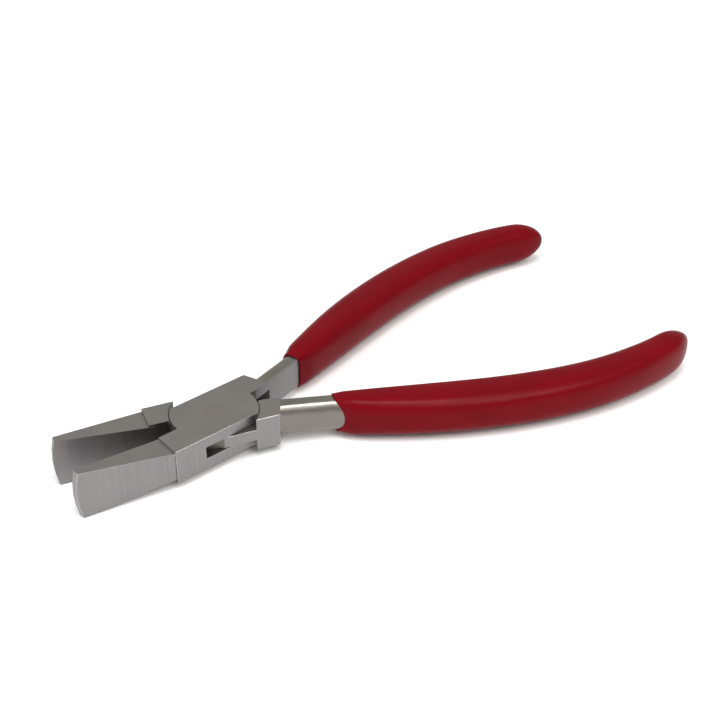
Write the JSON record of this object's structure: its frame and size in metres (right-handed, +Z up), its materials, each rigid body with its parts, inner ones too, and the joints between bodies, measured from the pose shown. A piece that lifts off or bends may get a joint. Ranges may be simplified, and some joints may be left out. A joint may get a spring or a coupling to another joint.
{
  "type": "crimping pliers",
  "caption": "Box-joint jeweller's pliers with wide flat smooth jaws, a flush-ground rivet pivot and curved handles in dipped red plastic grips.",
  "frame": {"origin": "on the pivot axis, at the lower ground face of the box joint, which is the flat the tool lies on", "axes": "+X towards the handles and -X towards the jaws along the tool's centre line, +Z up along the pivot axis, +Y towards the handle of the box half"},
  "size_m": [0.1468, 0.0716, 0.0119],
  "materials": {
    "ground_steel": "forged steel, belt-ground across its flats and satin bright on its rounded handle edges",
    "rivet_steel": "steel, ground flush with the joint, a little warmer in colour",
    "red_plastic": "deep red dipped vinyl, smooth with a soft gloss"
  },
  "bodies": {
    "box_lever": {"box_half": "ground_steel", "box_half_grip": "red_plastic", "pivot_rivet": "rivet_steel"},
    "lap_lever": {"lap_half": "ground_steel", "lap_half_grip": "red_plastic"}
  },
  "joints": [
    {"name": "pivot", "type": "hinge", "parent": "box_lever", "child": "lap_lever", "pos_m": [0, 0, 0], "axis": [0, 0, -1], "range_deg": [-17.6, 22.4]}
  ]
}
